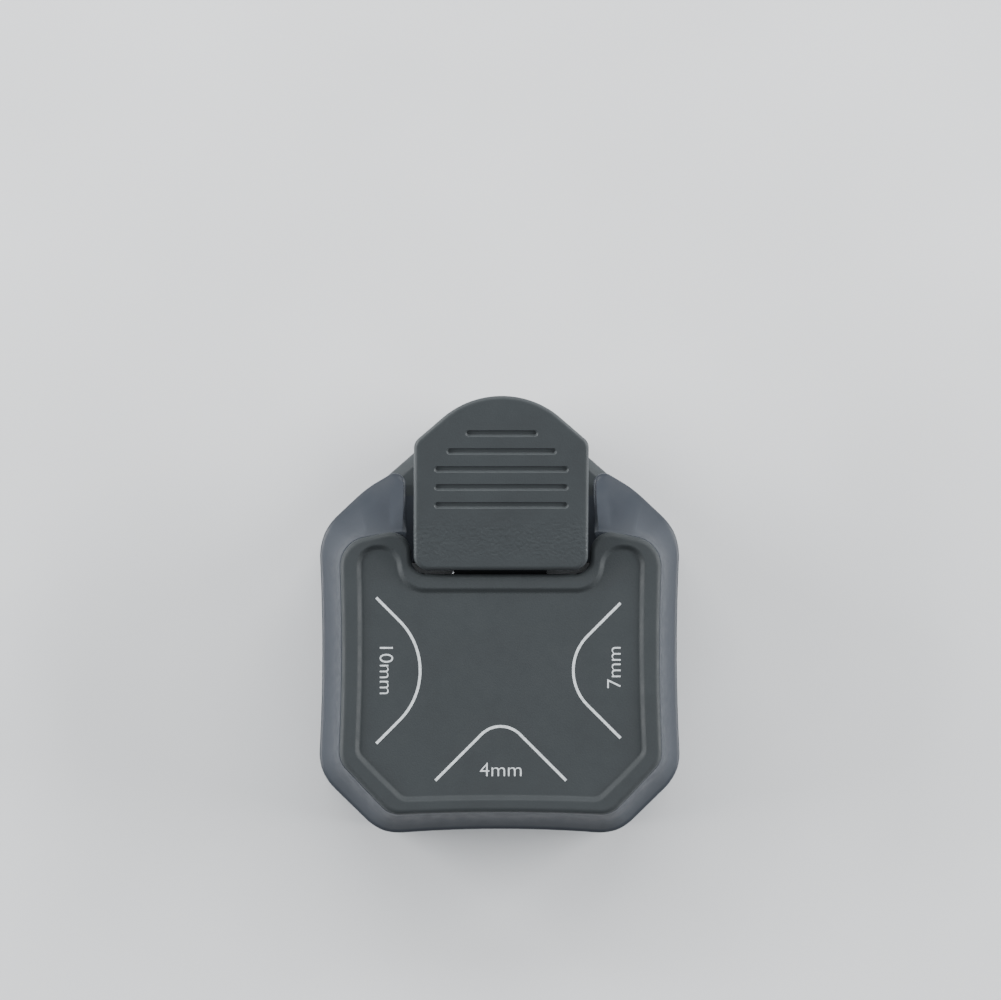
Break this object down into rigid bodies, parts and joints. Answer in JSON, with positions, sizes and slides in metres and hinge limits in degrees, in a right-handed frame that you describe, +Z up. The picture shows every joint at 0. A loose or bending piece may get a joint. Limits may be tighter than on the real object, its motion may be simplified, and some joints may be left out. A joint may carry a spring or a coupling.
{
  "type": "corner rounder",
  "caption": "Hand-pressed corner rounder for paper: a thumb lever drives curved punches through a die, with paper slots at the left, right and front.",
  "frame": {"origin": "on the base's underside, on the centre plane, level with the tips of the two side slots", "axes": "+X to the right, +Y to the rear where the thumb pad is, +Z up"},
  "size_m": [0.0538, 0.0652, 0.0306],
  "materials": {
    "base_plastic": "fine matte texture, greenish dark grey",
    "housing_plastic": "satin, bluish dark grey",
    "cover_plastic": "fine matte texture, greenish dark grey",
    "door_plastic": "satin, dark grey",
    "carrier_plastic": "black acetal",
    "plate_steel": "stamped, zinc plated",
    "punch_steel": "ground tool steel",
    "pin_steel": "polished",
    "spring_steel": "drawn wire",
    "screw_steel": "zinc plated"
  },
  "bodies": {
    "base": {"lower_housing": "base_plastic", "upper_housing": "housing_plastic", "top_cover": "cover_plastic", "die_plate": "plate_steel", "stripper_plate": "plate_steel", "front_left_stop": "plate_steel", "front_right_stop": "plate_steel", "rear_stop": "plate_steel", "die_rivets": "pin_steel", "guide_pin_left": "pin_steel", "guide_pin_right": "pin_steel", "return_spring_left": "spring_steel", "return_spring_right": "spring_steel", "pivot_pin": "pin_steel", "housing_screws": "screw_steel", "door_hinge_pin": "pin_steel"},
    "carrier": {"punch_carrier": "carrier_plastic", "punch_10mm": "punch_steel", "punch_7mm": "punch_steel", "punch_4mm": "punch_steel", "punch_screws": "screw_steel"},
    "lever": {"lever_arm": "plate_steel", "thumb_pad": "cover_plastic", "pad_screws": "screw_steel"},
    "door": {"scrap_door": "door_plastic"}
  },
  "joints": [
    {"name": "lever_press", "type": "hinge", "parent": "base", "child": "lever", "pos_m": [0, -0.016, 0.0172], "axis": [-1, 0, 0], "range_deg": [0, 9.5], "stiffness_Nm_per_rad": 0.6, "springref_deg": -6.88},
    {"name": "punch_slide", "type": "slide", "parent": "base", "child": "carrier", "axis": [0, 0, -1], "range_m": [0, 0.00266], "deforming": ["return_spring_left", "return_spring_right"]},
    {"name": "scrap_door_open", "type": "hinge", "parent": "base", "child": "door", "pos_m": [0, 0.004, 0.0015], "axis": [-1, 0, 0], "range_deg": [0, 100]}
  ],
  "couplings": [
    {"joint": "punch_slide", "follows": "lever_press", "m_per_rad": 0.01604}
  ]
}
